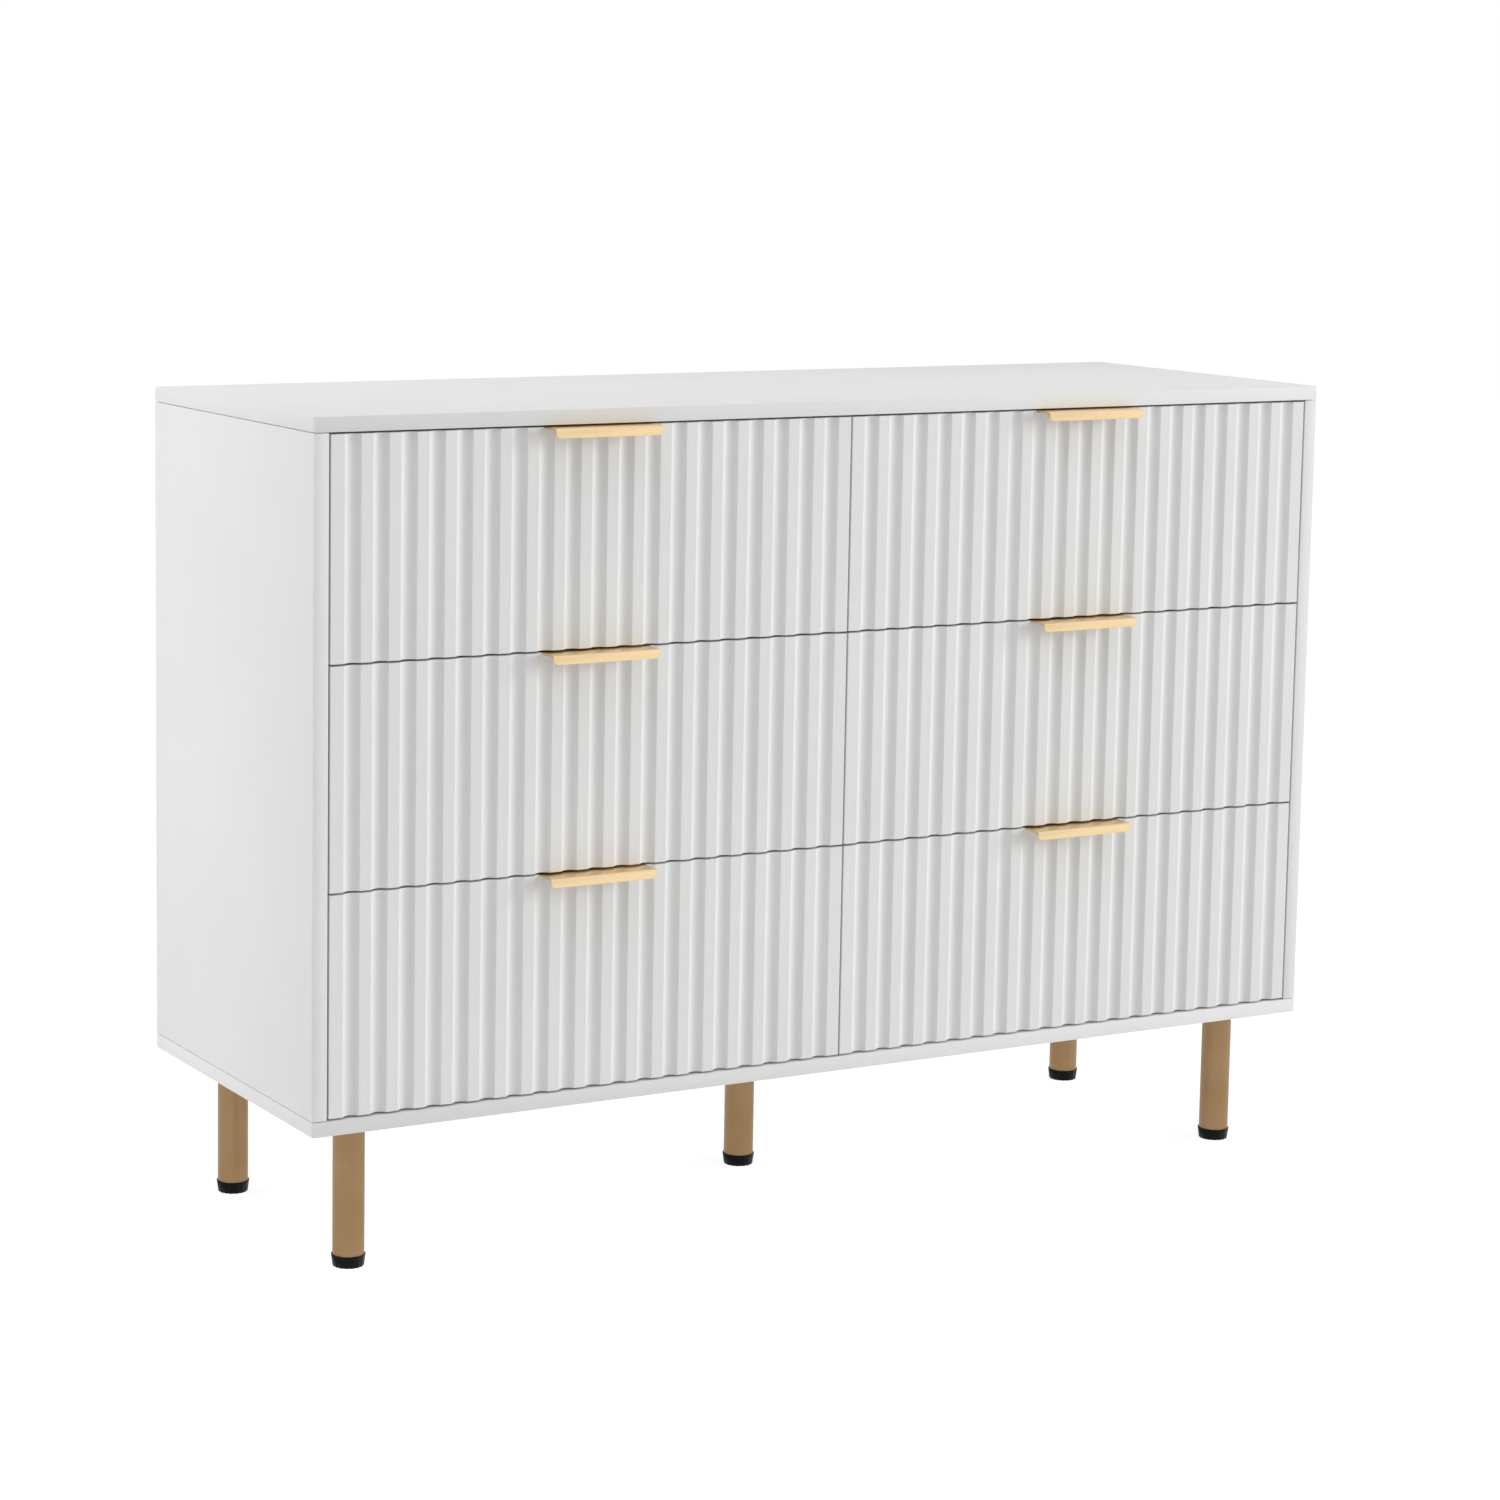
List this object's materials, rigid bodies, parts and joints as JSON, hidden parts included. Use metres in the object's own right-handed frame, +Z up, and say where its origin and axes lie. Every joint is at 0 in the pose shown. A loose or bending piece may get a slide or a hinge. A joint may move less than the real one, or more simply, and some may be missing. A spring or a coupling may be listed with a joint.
{
  "type": "dresser with drawers",
  "caption": "Low wide dresser on short tubular legs, with two columns of fluted inset drawers on telescopic slides and thin bent edge pulls.",
  "frame": {"origin": "on the floor, under the middle of the case (the pulls stand out in front of it), at the middle of the underside of the centre foot", "axes": "+X to the right as seen from the front, +Y to the back, +Z up; the drawers open towards -Y"},
  "size_m": [1.2, 0.42, 0.85],
  "materials": {
    "white_lacquer": "smooth satin white paint on board",
    "white_laminate": "matte white laminate on board",
    "hardboard": "thin painted hardboard",
    "beech": "plain beech",
    "gold_metal": "satin bronze-gold coating",
    "brushed_gold": "finely brushed gold",
    "black_plastic": "moulded black plastic",
    "zinc_steel": "bright zinc plate"
  },
  "bodies": {
    "cabinet": {"top_panel": "white_lacquer", "bottom_panel": "white_lacquer", "side_panel_left": "white_lacquer", "side_panel_right": "white_lacquer", "center_divider": "white_laminate", "back_sheets": "hardboard", "legs": "gold_metal", "foot_caps": "black_plastic", "slide_outer": "zinc_steel", "cam_fittings": "zinc_steel", "dowels": "beech", "leg_screws": "zinc_steel"},
    "drawer_left_1": {"drawer_left_1_front": "white_lacquer", "drawer_left_1_sides": "white_laminate", "drawer_left_1_back": "white_laminate", "drawer_left_1_bottom": "hardboard", "drawer_left_1_pull": "brushed_gold", "drawer_left_1_fixings": "zinc_steel", "drawer_left_1_slide_inner": "zinc_steel"},
    "drawer_left_1_slides": {"drawer_left_1_slide_middle": "zinc_steel"},
    "drawer_left_2": {"drawer_left_2_front": "white_lacquer", "drawer_left_2_sides": "white_laminate", "drawer_left_2_back": "white_laminate", "drawer_left_2_bottom": "hardboard", "drawer_left_2_pull": "brushed_gold", "drawer_left_2_fixings": "zinc_steel", "drawer_left_2_slide_inner": "zinc_steel"},
    "drawer_left_2_slides": {"drawer_left_2_slide_middle": "zinc_steel"},
    "drawer_left_3": {"drawer_left_3_front": "white_lacquer", "drawer_left_3_sides": "white_laminate", "drawer_left_3_back": "white_laminate", "drawer_left_3_bottom": "hardboard", "drawer_left_3_pull": "brushed_gold", "drawer_left_3_fixings": "zinc_steel", "drawer_left_3_slide_inner": "zinc_steel"},
    "drawer_left_3_slides": {"drawer_left_3_slide_middle": "zinc_steel"},
    "drawer_right_1": {"drawer_right_1_front": "white_lacquer", "drawer_right_1_sides": "white_laminate", "drawer_right_1_back": "white_laminate", "drawer_right_1_bottom": "hardboard", "drawer_right_1_pull": "brushed_gold", "drawer_right_1_fixings": "zinc_steel", "drawer_right_1_slide_inner": "zinc_steel"},
    "drawer_right_1_slides": {"drawer_right_1_slide_middle": "zinc_steel"},
    "drawer_right_2": {"drawer_right_2_front": "white_lacquer", "drawer_right_2_sides": "white_laminate", "drawer_right_2_back": "white_laminate", "drawer_right_2_bottom": "hardboard", "drawer_right_2_pull": "brushed_gold", "drawer_right_2_fixings": "zinc_steel", "drawer_right_2_slide_inner": "zinc_steel"},
    "drawer_right_2_slides": {"drawer_right_2_slide_middle": "zinc_steel"},
    "drawer_right_3": {"drawer_right_3_front": "white_lacquer", "drawer_right_3_sides": "white_laminate", "drawer_right_3_back": "white_laminate", "drawer_right_3_bottom": "hardboard", "drawer_right_3_pull": "brushed_gold", "drawer_right_3_fixings": "zinc_steel", "drawer_right_3_slide_inner": "zinc_steel"},
    "drawer_right_3_slides": {"drawer_right_3_slide_middle": "zinc_steel"}
  },
  "joints": [
    {"name": "drawer_left_1_travel", "type": "slide", "parent": "cabinet", "child": "drawer_left_1", "axis": [0, -1, 0], "range_m": [0, 0.32]},
    {"name": "drawer_left_1_slide_travel", "type": "slide", "parent": "cabinet", "child": "drawer_left_1_slides", "axis": [0, -1, 0], "range_m": [0, 0.16]},
    {"name": "drawer_left_2_travel", "type": "slide", "parent": "cabinet", "child": "drawer_left_2", "axis": [0, -1, 0], "range_m": [0, 0.32]},
    {"name": "drawer_left_2_slide_travel", "type": "slide", "parent": "cabinet", "child": "drawer_left_2_slides", "axis": [0, -1, 0], "range_m": [0, 0.16]},
    {"name": "drawer_left_3_travel", "type": "slide", "parent": "cabinet", "child": "drawer_left_3", "axis": [0, -1, 0], "range_m": [0, 0.32]},
    {"name": "drawer_left_3_slide_travel", "type": "slide", "parent": "cabinet", "child": "drawer_left_3_slides", "axis": [0, -1, 0], "range_m": [0, 0.16]},
    {"name": "drawer_right_1_travel", "type": "slide", "parent": "cabinet", "child": "drawer_right_1", "axis": [0, -1, 0], "range_m": [0, 0.32]},
    {"name": "drawer_right_1_slide_travel", "type": "slide", "parent": "cabinet", "child": "drawer_right_1_slides", "axis": [0, -1, 0], "range_m": [0, 0.16]},
    {"name": "drawer_right_2_travel", "type": "slide", "parent": "cabinet", "child": "drawer_right_2", "axis": [0, -1, 0], "range_m": [0, 0.32]},
    {"name": "drawer_right_2_slide_travel", "type": "slide", "parent": "cabinet", "child": "drawer_right_2_slides", "axis": [0, -1, 0], "range_m": [0, 0.16]},
    {"name": "drawer_right_3_travel", "type": "slide", "parent": "cabinet", "child": "drawer_right_3", "axis": [0, -1, 0], "range_m": [0, 0.32]},
    {"name": "drawer_right_3_slide_travel", "type": "slide", "parent": "cabinet", "child": "drawer_right_3_slides", "axis": [0, -1, 0], "range_m": [0, 0.16]}
  ],
  "couplings": [
    {"joint": "drawer_left_1_slide_travel", "follows": "drawer_left_1_travel", "ratio": 0.5},
    {"joint": "drawer_left_2_slide_travel", "follows": "drawer_left_2_travel", "ratio": 0.5},
    {"joint": "drawer_left_3_slide_travel", "follows": "drawer_left_3_travel", "ratio": 0.5},
    {"joint": "drawer_right_1_slide_travel", "follows": "drawer_right_1_travel", "ratio": 0.5},
    {"joint": "drawer_right_2_slide_travel", "follows": "drawer_right_2_travel", "ratio": 0.5},
    {"joint": "drawer_right_3_slide_travel", "follows": "drawer_right_3_travel", "ratio": 0.5}
  ]
}
